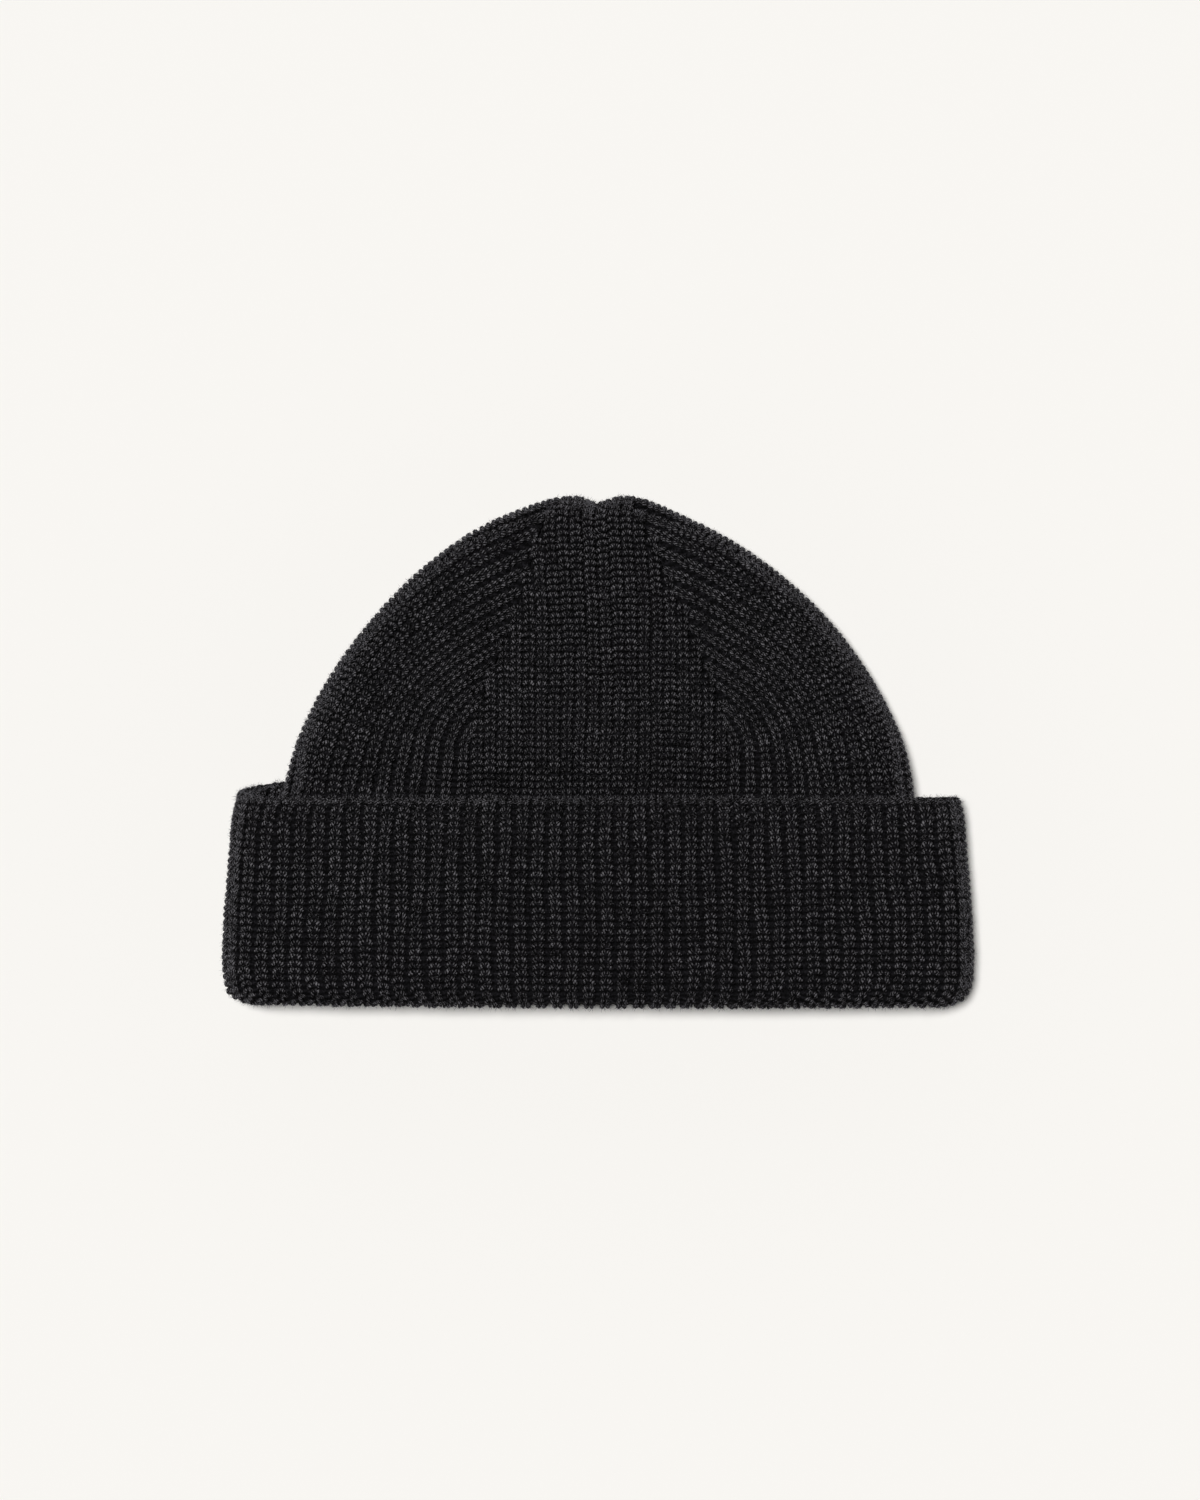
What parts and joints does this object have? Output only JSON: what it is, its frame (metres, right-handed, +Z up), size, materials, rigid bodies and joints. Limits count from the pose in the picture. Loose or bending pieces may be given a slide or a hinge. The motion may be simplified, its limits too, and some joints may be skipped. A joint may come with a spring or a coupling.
{
  "type": "fisherman beanie",
  "caption": "Short rib-knit wool beanie lying on its back, with a wide turned-up cuff and a rounded crown drawn in along shaping lines.",
  "frame": {"origin": "centre of the bounding box's lower face, on the table that the hat lies on", "axes": "+X across the hat to its right as it is seen, +Y from the folded edge at the mouth to the top of the crown, +Z up from the table"},
  "size_m": [0.2294, 0.156, 0.0282],
  "materials": {
    "crown_wool": "matte rib-knit wool",
    "cuff_wool": "matte rib-knit wool"
  },
  "bodies": {
    "root": {"crown": "crown_wool", "cuff": "cuff_wool"}
  },
  "joints": []
}
